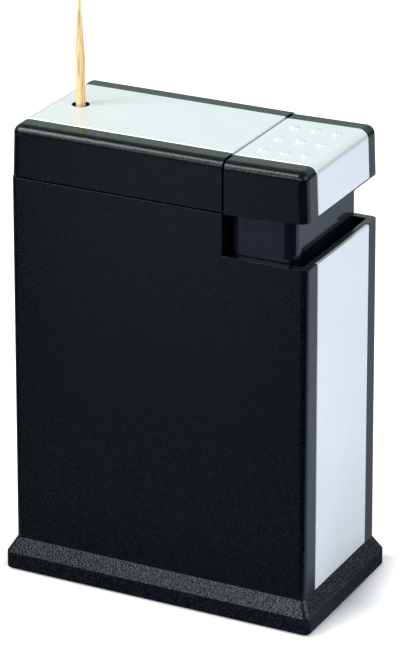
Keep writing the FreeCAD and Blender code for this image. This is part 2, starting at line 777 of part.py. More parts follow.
def stop_screw():
    """Shoulder screw that guides the stem's web and stops the button at the top."""
    length = web_top - seat_top + seat_thickness - stop_tip_gap
    return screw(spring_x, 0, web_top, -1, stop_screw_diameter / 2, length, stop_head_diameter / 2,
                 stop_head_height)


# ---------------------------------------------------------------- lever
def lever_slot(reach, pin_diameter):
    """Slot that lets a pin on a straight path follow the turning lever."""
    far = reach / math.cos(math.radians(lever_angle))
    radius = pin_diameter / 2 + slot_play
    slot = cross_rod(-reach, 0, radius, half_depth).fuse(cross_rod(-far, 0, radius, half_depth))
    return slot.fuse(box(-far, -reach, -half_depth, half_depth, -radius, radius))


def lever_taper(inset, x_root, x_end, half_width):
    """Arm outline between two stations, inset from its edges."""
    length = lifter_reach / math.cos(math.radians(lever_angle))

    def half(x):
        return lever_root_radius + (lever_end_radius - lever_root_radius) * x / length - inset
    root = half(x_root)
    tip = half(x_end)
    outline = [(-x_root, -root), (-x_root, root), (-x_end, tip), (-x_end, -tip)]
    return side_prism(outline, -half_width, half_width)


def lever_arm():
    """Moulded lever: hub, tapering I-section arm and two pin slots, turned up to the rest angle."""
    end = lifter_reach / math.cos(math.radians(lever_angle))
    half = lever_arm_thickness / 2
    arm = lever_taper(0, 0, end, half)
    lever = arm.fuse([cross_rod(0, 0, lever_hub_radius, lever_hub_width / 2),
                      cross_rod(-end, 0, lever_end_radius, half)])
    bays = [(lever_hub_radius + pocket_margin, drive_reach - pocket_margin)]
    first = drive_reach + pocket_margin
    pitch = (lifter_reach - pocket_margin - first + lever_rib) / pocket_count
    bays += [(first + i * pitch, first + (i + 1) * pitch - lever_rib) for i in range(pocket_count)]
    web = box(-end, 0, -lever_web / 2, lever_web / 2, -lever_hub_radius, lever_hub_radius)
    for x0, x1 in bays:
        lever = lever.cut(lever_taper(lever_rim, x0, x1, half + over).cut(web))
    eye = cross_rod(0, 0, pivot_pin_diameter / 2 + shaft_fit, half_depth)
    slots = [lever_slot(drive_reach, drive_pin_diameter), lever_slot(lifter_reach, lifter_pin_diameter)]
    lever = lever.cut(slots + [eye]).removeSplitter()
    lever.rotate(V(0, 0, 0), V(0, 1, 0), lever_angle)
    lever.translate(V(pivot_x, 0, pivot_z))
    return lever


def pivot_bracket():
    """U-shaped bracket on the plinth floor that holds the lever's pin."""
    inner = lever_hub_width / 2 + shaft_fit
    outer = inner + bracket_ear
    foot = box(bracket_left, bracket_right, -bracket_reach, bracket_reach,
               plinth_floor, plinth_floor + bracket_foot)
    bracket = foot.makeChamfer(bracket_corner, upright_edges(foot))
    outline = [(pivot_x - ear_reach, plinth_floor), (pivot_x + bracket_before, plinth_floor),
               (pivot_x + ear_radius, pivot_z), (pivot_x - ear_radius, pivot_z)]
    for side in (-1, 1):
        y0 = min(side * inner, side * outer)
        crown = Part.makeCylinder(ear_radius, bracket_ear, V(pivot_x, y0, pivot_z), V(0, 1, 0))
        bracket = bracket.fuse([side_prism(outline, y0, y0 + bracket_ear), crown])
    bracket = bracket.cut(cross_rod(pivot_x, pivot_z, pivot_pin_diameter / 2 + pin_fit, outer + over))
    for x, y, seat in frame_screw_places()[:2]:
        bracket = bracket.cut(bore(x, y, 0, seat + over, small_screw_diameter / 2 + screw_hole_play))
    return bracket.removeSplitter()


def pivot_pin():
    """Headed pin that the lever turns on."""
    outer = lever_hub_width / 2 + shaft_fit + bracket_ear
    pin = cross_rod(pivot_x, pivot_z, pivot_pin_diameter / 2, outer + pin_end)
    head = Part.makeCylinder(pivot_pin_diameter / 2 + pin_head_reach, pin_head_reach,
                             V(pivot_x, outer, pivot_z), V(0, 1, 0))
    return pin.fuse(head).removeSplitter()


# ---------------------------------------------------------------- lifter
def lifter_carriage():
    """Sliding carriage: a T-shaped tongue in the rail, a bridge for the rod and cheeks round the lever."""
    front = pick_x + bridge_front
    tongue = box(tongue_back, tongue_front, -tongue_width / 2, tongue_width / 2,
                 bridge_bottom, bridge_bottom + tongue_height)
    clear = rail_front + part_gap
    neck = box(tongue_front, clear, -neck_half, neck_half, bridge_bottom, bridge_bottom + neck_height)
    bridge = box(clear, front, -cheek_outer, cheek_outer, bridge_bottom, bridge_top)
    parts = [neck, bridge]
    for side in (-1, 1):
        y0 = min(side * cheek_inner, side * cheek_outer)
        parts.append(box(pick_x - bridge_front, pick_x + bridge_front, y0, y0 + cheek_thickness,
                         pin_rest, bridge_top))
        parts.append(Part.makeCylinder(bridge_front, cheek_thickness, V(pick_x, y0, pin_rest), V(0, 1, 0)))
    carriage = tongue.fuse(parts)
    eye = cross_rod(pick_x, pin_rest, lifter_pin_diameter / 2 + pin_fit, half_depth)
    return carriage.cut(eye).removeSplitter()


def lifter_pin():
    """Steel pin between the carriage cheeks."""
    return cross_rod(pick_x, pin_rest, lifter_pin_diameter / 2, cheek_outer)


def lifter_rod():
    """Thin rod that carries the cup."""
    return rod(pick_x, 0, bridge_top, cup_bottom, rod_diameter / 2)


def pick_cup():
    """Small cup that takes the point of the pick."""
    radius = cup_diameter / 2
    steps = [(cup_bottom, radius - cup_bevel), (cup_bottom + cup_bevel, radius), (cup_top, radius)]
    socket = [(cup_floor, cup_bore / 2), (cup_top + over, cup_bore / 2)]
    return faceted(pick_x, 0, steps, pick_sides).cut(faceted(pick_x, 0, socket, pick_sides))


def lifter_rail():
    """Upright guide with a T-shaped slot for the carriage tongue."""
    side = tongue_width / 2 + slide_fit + rail_side
    rail = box(rail_rear, rail_front, -side, side, plinth_floor, rail_top)
    slot = tongue_width / 2 + slide_fit
    rail = rail.cut(box(tongue_back - slide_fit, tongue_front + slide_fit, -slot, slot,
                        plinth_floor - over, rail_top + over))
    rail = rail.cut(box(tongue_front, rail_front + over, -neck_half - slide_fit, neck_half + slide_fit,
                        plinth_floor - over, rail_top + over))
    foot = box(rail_rear, rail_front + rail_foot_front, -side - rail_foot_reach, side + rail_foot_reach,
               plinth_floor, plinth_floor + rail_foot_height)
    inside = cheek_outer + part_gap
    foot = foot.cut(box(rail_rear - over, rail_front + rail_foot_front + over, -inside, inside, 0, rail_top))
    rail = rail.fuse(foot)
    for x, y, seat in frame_screw_places()[2:]:
        rail = rail.cut(bore(x, y, 0, seat + over, small_screw_diameter / 2 + screw_hole_play))
    return rail.removeSplitter()


# ---------------------------------------------------------------- magazine
def magazine():
    """Open-topped hopper whose bow closes in to a round channel for one pick."""
    right = partition_back - magazine_play
    outer_y = half_depth - shell_wall - magazine_play
    inner_y = outer_y - magazine_wall
    low = magazine_bottom - over
    high = magazine_top + over
    bow_x = pick_x + bow_run
    neck_x = pick_x + guide_bore / 2
    neck_y = neck_width / 2
    bow_angle = math.atan2(inner_y - neck_y, bow_x - neck_x)
    turn_x = bow_x - magazine_wall * math.tan(bow_angle / 2)
    nose_y = outer_y - (turn_x - pick_x) * math.tan(bow_angle)
    outer = plan_prism([(right, -outer_y), (right, outer_y), (turn_x, outer_y), (pick_x, nose_y),
                        (pick_x, -nose_y), (turn_x, -outer_y)], magazine_bottom, magazine_top)
    outer = outer.fuse(rod(pick_x, 0, magazine_bottom, magazine_top, guide_bore / 2 + magazine_wall))
    room = plan_prism([(right - magazine_wall, -inner_y), (right - magazine_wall, inner_y), (bow_x, inner_y),
                       (neck_x, neck_y), (pick_x, neck_y), (pick_x, -neck_y), (neck_x, -neck_y),
                       (bow_x, -inner_y)], low, high)
    rise = (right - pick_x) * math.tan(math.radians(magazine_slope))
    slope = [(pick_x, channel_floor), (right, channel_floor + rise), (right, high), (pick_x, high)]
    above = side_prism(slope, -half_depth, half_depth)
    hopper = outer.cut(room.common(above))
    hopper = hopper.cut(rod(pick_x, 0, low, high, guide_bore / 2))
    return hopper.removeSplitter()


# ---------------------------------------------------------------- toothpick
def toothpick():
    """Round wooden pick, pointed at both ends, standing in the cup."""
    radius = pick_diameter / 2
    tip = pick_tip / 2
    foot = cup_floor
    top = foot + pick_length
    steps = [(foot, tip), (foot + pick_taper, radius), (top - pick_taper, radius), (top, tip)]
    return faceted(pick_x, 0, steps, pick_sides)


NODES = {
    "housing_shell": housing_shell,
    "end_panel": end_panel,
    "base_plinth": base_plinth,
    "rubber_pads": rubber_pads,
    "base_screws": base_screws,
    "frame_screws": frame_screws,
    "magazine": magazine,
    "lifter_rail": lifter_rail,
    "pivot_bracket": pivot_bracket,
    "pivot_pin": pivot_pin,
    "spring_seat": spring_seat,
    "stop_screw": stop_screw,
    "return_spring": return_spring,
    "button_cap": button_cap,
    "button_trim": button_trim,
    "button_stem": button_stem,
    "drive_link": drive_link,
    "drive_pin": drive_pin,
    "link_screws": link_screws,
    "lever_arm": lever_arm,
    "lifter_carriage": lifter_carriage,
    "lifter_pin": lifter_pin,
    "lifter_rod": lifter_rod,
    "pick_cup": pick_cup,
    "toothpick": toothpick,
    "lid_shell": lid_shell,
    "lid_trim": lid_trim,
}

os.makedirs("parts", exist_ok=True)
for name, make in NODES.items():
    shape = make()
    shape.exportStep(f"parts/{name}.step")
    print(name, len(shape.Solids), round(shape.Volume, 1), shape.isValid())
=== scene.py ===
"""Toothpick dispenser: finishes, grip nubs, spring, floor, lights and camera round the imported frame.

Metres, in the same frame as the CAD: +X towards the button end, +Y towards the back, +Z up.
"""
import bmesh
import bpy
import math
from mathutils import Matrix, Vector


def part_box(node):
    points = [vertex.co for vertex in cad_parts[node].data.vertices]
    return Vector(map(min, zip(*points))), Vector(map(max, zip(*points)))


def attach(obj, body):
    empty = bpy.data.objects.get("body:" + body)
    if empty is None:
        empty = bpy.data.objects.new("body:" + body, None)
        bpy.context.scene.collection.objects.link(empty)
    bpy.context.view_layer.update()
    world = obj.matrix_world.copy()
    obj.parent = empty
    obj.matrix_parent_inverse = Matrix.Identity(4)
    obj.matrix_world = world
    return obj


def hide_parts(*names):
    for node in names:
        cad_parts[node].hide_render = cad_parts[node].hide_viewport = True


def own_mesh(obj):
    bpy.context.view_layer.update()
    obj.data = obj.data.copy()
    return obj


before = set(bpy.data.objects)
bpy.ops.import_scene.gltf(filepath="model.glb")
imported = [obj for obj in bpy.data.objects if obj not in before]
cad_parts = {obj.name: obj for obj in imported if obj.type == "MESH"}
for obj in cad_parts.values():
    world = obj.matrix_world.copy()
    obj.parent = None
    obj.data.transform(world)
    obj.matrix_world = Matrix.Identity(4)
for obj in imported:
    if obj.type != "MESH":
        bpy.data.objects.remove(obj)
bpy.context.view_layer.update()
MM = 0.001
UNIT = (0.0, 1.0)

# ---------------------------------------------------------------- camera
CAMERA_PLACE = Vector((308.585, -607.495, 341.927)) * MM
CAMERA_AZIMUTH = 26.833          # degrees
CAMERA_ELEVATION = 22.598
CAMERA_ROLL = -0.067
CAMERA_CLIP = (0.05, 20.0)
FOCAL_PIXELS = 3426.5            # for the 646-pixel side
LONG_SIDE_PIXELS = 646
SENSOR = 36.0                    # millimetres along the long side

# ---------------------------------------------------------------- sky
SKY_EVEN = 0.56                  # level that lights matt surfaces
SKY_MIRROR = (0.80, 1.0, 0.955)  # colour that glossy surfaces see
SKY_HORIZON = 0.13               # its level low down
SKY_BACK = 0.95                  # its level above that
SKY_TOP = 0.50                   # its level overhead
SKY_FRONT = 0.42                 # share of them that is left on the camera's side
SKY_RISE = (0.14, 0.27)          # heights, from -1 to 1, over which the low band ends
SKY_FALL = (0.38, 0.85)          # heights over which the level goes to the one overhead
SKY_TURN = (-0.30, 0.35)         # places along Y, from -1 to 1, over which front changes to back

# ---------------------------------------------------------------- floor and its painted contact shadow
PLINTH_HALF = (0.037, 0.020)     # half the plinth's length and depth
FLOOR_HALF = 3.0
FLOOR_COLOUR = (0.81, 0.795, 0.80)
FLOOR_LIFT = 0.66                # what the floor adds of its own for the camera, taken away where the contact shadow is painted
SHADE_REACH = 0.0125             # how far the painted shadow reaches on the right
SHADE_SKEW = 0.27                # how much it narrows there towards both corners
SHADE_LEFT = -2.5                # how much sooner it ends on the left, where X goes the other way
SHADE_BEHIND = 2.0               # and behind
SHADE_AHEAD = 0.004              # it ends along the front edge, in a strip with this half width

# ---------------------------------------------------------------- painted reflection: what glossy surfaces see of the floor, with painted shade at the plinth
FLOOR_MIRROR = (0.72, 0.86, 1.0)        # colour beside and behind the plinth
FLOOR_MIRROR_FRONT = (0.56, 0.70, 1.0)  # in front of it
FLOOR_MIRROR_FAR = (0.66, 0.95, 1.0)    # far in front
FAR_SPAN = (0.05, 0.25)          # distances over which front changes to far in front
SIDE_SPAN = (-0.040, -0.015)     # places along Y over which front changes to sides and back
MIRROR_CONTACT = 0.08            # level in front, at the plinth, where it is painted shade
MIRROR_NEAR = 0.28               # in front, near the plinth
MIRROR_FRONT = 0.62              # far in front
NEAR_SPAN = (0.0, 0.04)          # distances over which contact changes to near
FRONT_SPAN = (0.04, 0.30)        # and near to far
STRIP_SLANT = 0.51               # a painted bright strip runs forwards from the plinth, aslant by X over Y
STRIP_SPAN = (0.025, 0.070)      # distances from its middle over which it ends
MIRROR_BESIDE = 0.08             # share of the level that is left beside the strip
MIRROR_SIDES = 0.93              # level at the sides and the back
SIDES_START = 0.78               # share of it near the plinth, painted shade
SIDES_SPAN = (0.010, 0.070)      # distances over which it is reached
MIRROR_FOOT = 0.24               # share at the foot of the plinth, painted shade
FOOT_SPAN = (0.005, 0.010)
MIRROR_LEFT = 0.35               # share on the left
LEFT_SPAN = (-0.070, -0.045)
MIRROR_DISTANT = 0.30            # share towards the horizon
DISTANT_SPAN = (0.32, 0.80)
SPLIT_SLOPE = 1.976              # a slanting line on the right, Y over X, splits bright from dim
SPLIT_SPAN = (-0.022, 0.014)     # places across it over which the share changes
SPLIT_SHARES = (1.40, 0.78)      # share before the line and behind it

# ---------------------------------------------------------------- lamps
LAMPS = (    # name, place, what it is aimed at, width and height, watts, colour
    ("key_box", (-0.50, -0.44, 0.69), (0, 0, 0.10), (0.34, 0.48), 5.4, (0.93, 1.0, 0.98)),
    ("low_fill", (-0.07, -0.90, 0.45), (-0.07, 0, 0.05), (0.80, 0.17), 2.6, (0.80, 1.0, 1.0)),
    ("side_fill", (0.75, -0.12, 0.52), (0, 0, 0.08), (0.55, 0.45), 2.15, (0.84, 0.92, 1.0)),
)

# ---------------------------------------------------------------- node helpers
MIX_FIRST, MIX_SECOND, MIX_RESULT = 6, 7, 2      # places of the colour sockets of a Mix node
BEVEL_SAMPLES = 6
EDGE_SPAN = (0.75, 1.0)          # how far a rounded normal agrees with the flat one, from edge to flat
RIM_FADE = 1.015                 # the dark of a hole's wall, partly painted shade, ends at this many radii


class Graph:
    """Nodes of one tree, with helpers that take sockets, numbers and colours alike."""

    def __init__(self, tree):
        self.tree = tree
        self.tree.nodes.clear()

    def add(self, kind):
        return self.tree.nodes.new(kind)

    def link(self, source, target):
        self.tree.links.new(source, target)

    def feed(self, socket, value):
        """Set a socket to a number or a colour, or link it."""
        if isinstance(value, tuple):
            socket.default_value = (*value, 1.0)
        elif isinstance(value, (int, float)):
            socket.default_value = value
        else:
            self.link(value, socket)

    def compute(self, operation, *terms):
        """One step of arithmetic."""
        node = self.add("ShaderNodeMath")
        node.operation = operation
        for socket, value in zip(node.inputs, terms):
            self.feed(socket, value)
        return node.outputs["Value"]

    def product(self, first, *others):
        """All factors multiplied."""
        for other in others:
            first = self.compute("MULTIPLY", first, other)
        return first

    def ramp(self, source, span, low, high, shape="SMOOTHSTEP"):
        """Change from low to high while the source goes through the span."""
        node = self.add("ShaderNodeMapRange")
        node.interpolation_type = shape
        start, end = span
        for name, value in (("From Min", start), ("From Max", end), ("To Min", low), ("To Max", high)):
            self.feed(node.inputs[name], value)
        self.link(source, node.inputs["Value"])
        return node.outputs["Result"]

    def axes(self, output):
        """X, Y and Z of a texture coordinate."""
        split = self.add("ShaderNodeSeparateXYZ")
        self.link(self.add("ShaderNodeTexCoord").outputs[output], split.inputs["Vector"])
        return split.outputs

    def blend(self, factor, first, second):
        """Mix of two colours."""
        node = self.add("ShaderNodeMix")
        node.data_type = "RGBA"
        self.link(factor, node.inputs["Factor"])
        self.feed(node.inputs[MIX_FIRST], first)
        self.feed(node.inputs[MIX_SECOND], second)
        return node.outputs[MIX_RESULT]

    def mix(self, factor, first, second):
        """Mix of two shaders."""
        node = self.add("ShaderNodeMixShader")
        self.link(factor, node.inputs["Fac"])
        self.link(first, node.inputs[1])
        self.link(second, node.inputs[2])
        return node.outputs["Shader"]


class Finish(Graph):
    """One node material: a Principled shader with helpers for grain, colour and relief."""

    def __init__(self, name):
        self.material = bpy.data.materials.new(name)
        self.material.use_nodes = True
        super().__init__(self.material.node_tree)
        out = self.add("ShaderNodeOutputMaterial")
        self.shader = self.add("ShaderNodeBsdfPrincipled")
        self.link(self.shader.outputs["BSDF"], out.inputs["Surface"])
        self.coordinates = self.add("ShaderNodeTexCoord").outputs["Object"]
        self.normal = None

    def set(self, **values):
        """Feed the shader's sockets; underscores stand for spaces."""
        for name, value in values.items():
            self.feed(self.shader.inputs[name.replace("_", " ")], value)

    def stretched(self, stretch):
        """Object coordinates multiplied along each axis."""
        node = self.add("ShaderNodeMapping")
        node.inputs["Scale"].default_value = stretch
        self.link(self.coordinates, node.inputs["Vector"])
        return node.outputs["Vector"]

    def noise(self, size, detail=2.0, stretch=(1, 1, 1), rough=0.5):
        """Noise whose blobs are about size metres across."""
        node = self.add("ShaderNodeTexNoise")
        node.inputs["Scale"].default_value = 1.0 / size
        node.inputs["Detail"].default_value = detail
        node.inputs["Roughness"].default_value = rough
        self.link(self.stretched(stretch), node.inputs["Vector"])
        return node.outputs["Fac"]

    def spread(self, source, low, high, span=(0.3, 0.7)):
        """Even change from low to high while the source goes through the span."""
        return self.ramp(source, span, low, high, shape="LINEAR")

    def patches(self, size, first, second, detail=2.0):
        """Two colours in soft patches about size metres across."""
        return self.blend(self.spread(self.noise(size, detail), *UNIT), first, second)

    def bevelled(self, radius):
        """Normal with the edges rounded by a radius."""
        node = self.add("ShaderNodeBevel")
        node.samples = BEVEL_SAMPLES
        node.inputs["Radius"].default_value = radius
        return node.outputs["Normal"]

    def soften(self, radius):
        """Lay the relief over rounded edges."""
        self.normal = self.bevelled(radius)

    def bump(self, height, depth, strength):
        """One more layer of relief, its depth in metres."""
        node = self.add("ShaderNodeBump")
        node.inputs["Distance"].default_value = depth
        node.inputs["Strength"].default_value = strength
        self.link(height, node.inputs["Height"])
        if self.normal is not None:
            self.link(self.normal, node.inputs["Normal"])
        self.normal = node.outputs["Normal"]
        self.link(self.normal, self.shader.inputs["Normal"])

    def edges(self, radius):
        """About 1 on sharp edges and 0 on flats."""
        geometry = self.add("ShaderNodeNewGeometry")
        dot = self.add("ShaderNodeVectorMath")
        dot.operation = "DOT_PRODUCT"
        self.link(self.bevelled(radius), dot.inputs[0])
        self.link(geometry.outputs["Normal"], dot.inputs[1])
        return self.spread(dot.outputs["Value"], 1.0, 0.0, EDGE_SPAN)

    def near_axis(self, x, y, radius):
        """1 within a radius of an upright axis, 0 just outside it."""
        offset = self.add("ShaderNodeVectorMath")
        offset.operation = "SUBTRACT"
        self.link(self.stretched((1, 1, 0)), offset.inputs[0])
        offset.inputs[1].default_value = (x, y, 0)
        length = self.add("ShaderNodeVectorMath")
        length.operation = "LENGTH"
        self.link(offset.outputs["Vector"], length.inputs[0])
        return self.spread(length.outputs["Value"], 1.0, 0.0, (radius, RIM_FADE * radius))


def tinted(colour, gain, lift=0.0):
    """A colour made darker or paler."""
    return tuple(gain * channel + lift for channel in colour)


# ---------------------------------------------------------------- finishes
def moulded_black(name, tint, speck, grain, detail, depth, gloss, level):
    """Spark-eroded black moulding: pale specks in a fine grain, uneven sheen and rubbed edges."""
    finish = Finish(name)
    fine = finish.noise(grain, detail, rough=0.65)
    base = finish.patches(9 * MM, tinted(tint, gain=0.7), tint)
    specks = finish.spread(finish.noise(grain, detail=1.0), *UNIT, span=(0.46, 0.72))
    base = finish.blend(specks, base, tinted(tint, gain=1.0, lift=speck))
    rubbed = finish.spread(finish.edges(radius=0.22 * MM), 0.0, 0.6, span=UNIT)
    finish.set(Base_Color=finish.blend(rubbed, base, tinted(tint, gain=1.6, lift=0.002)),
               Roughness=finish.spread(fine, gloss - 0.06, gloss + 0.10),
               Specular_IOR_Level=level)
    finish.soften(radius=0.16 * MM)
    finish.bump(fine, depth, strength=0.6)
    finish.bump(finish.noise(1.6 * MM, detail=1.0), depth, strength=0.15)
    return finish.material


def satin_silver(name, tint, gloss, hole, hole_wall_and_shade_tint):
    """Anodised strip: very fine grain with a faint cloudy sheen, and a dark wall in the pick's hole, partly
    the wall's own dark and partly painted shade.
    """
    finish = Finish(name)
    fine = finish.noise(0.16 * MM)
    face = finish.patches(14 * MM, tint, tinted(tint, gain=1.03))
    # the hole's wall: its own dark and painted shade
    finish.set(Base_Color=finish.blend(finish.near_axis(*hole), face, hole_wall_and_shade_tint),
               Roughness=finish.spread(fine, gloss - 0.04, gloss + 0.05),
               Metallic=0.50)
    finish.soften(radius=0.12 * MM)
    finish.bump(fine, depth=0.004 * MM, strength=0.35)
    return finish.material


def polished_black(name, dark, pale):
    """Glossy black moulding with faint flow marks along Z."""
    finish = Finish(name)
    flow = finish.noise(3 * MM, stretch=(1, 1, 0.15))
    finish.set(Base_Color=finish.blend(finish.spread(flow, *UNIT), dark, pale),
               Roughness=finish.spread(finish.noise(1.2 * MM, detail=3.0), 0.07, 0.13),
               Specular_IOR_Level=0.40)
    finish.soften(radius=0.12 * MM)
    finish.bump(flow, depth=0.004 * MM, strength=0.15)
    return finish.material


def plain_moulding(name, tint, gloss):
    """Natural moulded plastic of the inner pieces."""
    finish = Finish(name)
    finish.set(Base_Color=finish.patches(4 * MM, tinted(tint, gain=0.9), tint, detail=3.0),
               Roughness=finish.spread(finish.noise(0.5 * MM), gloss - 0.05, gloss + 0.08),
               Specular_IOR_Level=0.5)
    finish.bump(finish.noise(0.4 * MM), depth=0.01 * MM, strength=0.3)
    return finish.material


def drawn_steel(name, tint, gloss):
    """Drawn or turned steel with fine lines along Z."""
    finish = Finish(name)
    lines = finish.noise(0.25 * MM, detail=3.0, stretch=(1, 1, 0.1), rough=0.7)
    finish.set(Base_Color=finish.blend(finish.spread(lines, *UNIT), tinted(tint, gain=0.8), tint),
               Roughness=finish.spread(lines, gloss - 0.06, gloss + 0.1),
               Metallic=1.0)
    finish.bump(lines, depth=0.006 * MM, strength=0.3)
    return finish.material


def soft_rubber(name, dark, pale):
    """Matt rubber of the pads."""
    finish = Finish(name)
    fine = finish.noise(0.3 * MM, detail=3.0)
    finish.set(Base_Color=finish.blend(fine, dark, pale), Roughness=finish.spread(fine, 0.7, 0.9))
    finish.bump(fine, depth=0.02 * MM, strength=0.5)
    return finish.material


def turned_wood(name, warm, pale, streak):
    """Pale birch with long fibres along Z."""
    finish = Finish(name)
    fibres = finish.noise(0.34 * MM, detail=4.0, stretch=(1, 1, 0.035), rough=0.6)
    broad = finish.noise(1.1 * MM, stretch=(1, 1, 0.05))
    light = finish.blend(finish.spread(broad, *UNIT), warm, pale)
    streaks = finish.spread(fibres, 0.0, 0.85, span=(0.50, 0.66))
    finish.set(Base_Color=finish.blend(streaks, light, streak),
               Roughness=finish.spread(fibres, 0.5, 0.7),
               Specular_IOR_Level=0.3)
    finish.bump(fibres, depth=0.05 * MM, strength=0.6)
    return finish.material


# ---------------------------------------------------------------- which piece has which finish
SHELL = moulded_black("shell_black", tint=(0.0010, 0.0012, 0.0023), speck=0.0055, grain=0.32 * MM,
                      detail=1.0, depth=0.034 * MM, gloss=0.20, level=0.34)
PLINTH = moulded_black("plinth_black", tint=(0.0012, 0.0014, 0.0034), speck=0.010, grain=0.38 * MM,
                       detail=0.0, depth=0.110 * MM, gloss=0.16, level=0.34)
GLOSS = polished_black("stem_black", dark=(0.003, 0.0035, 0.007), pale=(0.007, 0.008, 0.013))
PICK_LOW, PICK_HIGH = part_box("toothpick")
HOLE_RADIUS = 1.96 * MM          # nearer than this to the pick's axis the strip is its hole's wall
HOLE = ((PICK_LOW.x + PICK_HIGH.x) / 2, (PICK_LOW.y + PICK_HIGH.y) / 2, HOLE_RADIUS)
TRIM = satin_silver("trim_silver", tint=(0.925, 0.91, 0.925), gloss=0.36, hole=HOLE,
                    hole_wall_and_shade_tint=(0.012, 0.012, 0.014))
MECHANISM = plain_moulding("mechanism_white", tint=(0.74, 0.73, 0.68), gloss=0.4)
MAGAZINE = plain_moulding("magazine_grey", tint=(0.10, 0.10, 0.105), gloss=0.45)
STEEL = drawn_steel("steel", tint=(0.62, 0.62, 0.61), gloss=0.30)
SCREWS = drawn_steel("screw_steel", tint=(0.50, 0.51, 0.52), gloss=0.36)
PADS = soft_rubber("pad_rubber", dark=(0.012, 0.012, 0.013), pale=(0.03, 0.03, 0.03))
WOOD = turned_wood("pick_wood", warm=(0.92, 0.53, 0.19), pale=(0.99, 0.82, 0.54),
                   streak=(0.55, 0.27, 0.075))

FINISHES = {
    "housing_shell": SHELL, "lid_shell": SHELL, "button_cap": SHELL, "base_plinth": PLINTH,
    "button_stem": GLOSS, "end_panel": TRIM, "lid_trim": TRIM, "button_trim": TRIM,
    "magazine": MAGAZINE, "spring_seat": MAGAZINE, "lifter_rail": MECHANISM, "lever_arm": MECHANISM,
    "drive_link": MECHANISM, "lifter_carriage": MECHANISM, "pick_cup": MECHANISM,
    "pivot_bracket": STEEL, "pivot_pin": STEEL, "drive_pin": STEEL, "lifter_pin": STEEL,
    "lifter_rod": STEEL, "return_spring": STEEL, "base_screws": SCREWS, "frame_screws": SCREWS,
    "link_screws": SCREWS, "stop_screw": SCREWS, "rubber_pads": PADS, "toothpick": WOOD,
}


def dress():
    """Give every CAD node its finish."""
    for name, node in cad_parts.items():
        node.data.materials.clear()
        node.data.materials.append(FINISHES[name])


# ---------------------------------------------------------------- mesh helpers
QUAD = 4


def join_rings(mesh, first, second):
    """Quads between two rings of points."""
    for place in range(len(first)):
        after = (place + 1) % len(first)
        mesh.faces.new((first[place], second[place], second[after], first[after]))


def add_piece(name, mesh, finish, flat_ends=False):
    """Smooth object from a finished mesh; its end faces, which aren't quads, may stay flat."""
    data = bpy.data.meshes.new(name)
    mesh.to_mesh(data)
    mesh.free()
    for polygon in data.polygons:
        polygon.use_smooth = not flat_ends or len(polygon.vertices) == QUAD
    data.materials.append(finish)
    piece = bpy.data.objects.new(name, data)
    bpy.context.scene.collection.objects.link(piece)
    return piece


# ---------------------------------------------------------------- grip nubs
NUB_MIDDLE = (24.6 * MM, 103.69 * MM)    # place along X and height of the middle row's foot
NUB_SLOPE = 0.0157                       # the finger pad rises towards its end
NUB_PITCH = (4.85 * MM, 7.6 * MM)
NUB_RADIUS = 1.10 * MM
NUB_HEIGHT = 0.45 * MM
NUB_SINK = 0.04 * MM
NUB_SIDES = 28
NUB_STEPS = 9
NUB_SWEEP = 0.48 * math.pi               # from the foot almost to the top
NUB_POWER = 0.8                          # below 1 the dome is fuller than half an ellipse


def nub_rings():
    """Radius and height of each ring of a dome with a full round edge."""
    rings = []
    for step in range(NUB_STEPS):
        angle = NUB_SWEEP * step / (NUB_STEPS - 1)
        radius = NUB_RADIUS * math.cos(angle) ** NUB_POWER
        rings.append((radius, NUB_HEIGHT * math.sin(angle) ** NUB_POWER))
    return rings


def make_nubs():
    """Nine smooth domes over the flat-sided nubs of the button's trim."""
    mesh = bmesh.new()
    for row in (-1, 0, 1):
        for column in (-1, 0, 1):
            x = NUB_MIDDLE[0] + row * NUB_PITCH[0]
            y = column * NUB_PITCH[1]
            foot = NUB_MIDDLE[1] + row * NUB_PITCH[0] * NUB_SLOPE - NUB_SINK
            previous = None
            for radius, height in nub_rings():
                ring = []
                for side in range(NUB_SIDES):
                    angle = math.tau * side / NUB_SIDES
                    ring.append(mesh.verts.new((x + radius * math.cos(angle),
                                                y + radius * math.sin(angle), foot + height)))
                if previous:
                    join_rings(mesh, ring, previous)
                previous = ring
            mesh.faces.new(previous)
    nubs = add_piece("grip_nubs", mesh, TRIM)
    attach(nubs, "button")


# ---------------------------------------------------------------- return spring
SPRING_WIRE = 0.8 * MM
SPRING_TURNS = 6
SPRING_CLOSED = 0.9              # turns that lie close at each end
SPRING_STATIONS = 30             # to a turn
SPRING_SIDES = 12


def spring_climb(turn, height):
    """How far the wire has climbed after so many turns, slowly at both ends."""
    end = SPRING_CLOSED * SPRING_WIRE
    pitch = (height - 2 * end) / (SPRING_TURNS - 2 * SPRING_CLOSED)
    if turn < SPRING_CLOSED:
        return turn * SPRING_WIRE
    if turn > SPRING_TURNS - SPRING_CLOSED:
        return height - (SPRING_TURNS - turn) * SPRING_WIRE
    return end + pitch * (turn - SPRING_CLOSED)


def make_spring():
    """Round-wire spring in the place of the flat-sided CAD one, which is hidden; it rides on the housing."""
    low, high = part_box("return_spring")
    middle = (low + high) / 2
    thick = SPRING_WIRE / 2
    coil = (high.x - low.x) / 2 - thick
    mesh = bmesh.new()
    previous = None
    for station in range(SPRING_TURNS * SPRING_STATIONS + 1):
        turn = station / SPRING_STATIONS
        angle = math.tau * turn
        rise = low.z + thick + spring_climb(turn, high.z - low.z - SPRING_WIRE)
        ring = []
        for side in range(SPRING_SIDES):
            around = math.tau * side / SPRING_SIDES
            reach = coil + thick * math.cos(around)
            ring.append(mesh.verts.new((middle.x + reach * math.cos(angle),
                                        middle.y + reach * math.sin(angle),
                                        rise + thick * math.sin(around))))
        if previous:
            join_rings(mesh, previous, ring)
        else:
            mesh.faces.new(ring)
        previous = ring
    mesh.faces.new(reversed(previous))
    bmesh.ops.recalc_face_normals(mesh, faces=mesh.faces)
    spring = add_piece("coil_spring", mesh, STEEL, flat_ends=True)
    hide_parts("return_spring")
    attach(spring, "housing")
    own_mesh(spring)


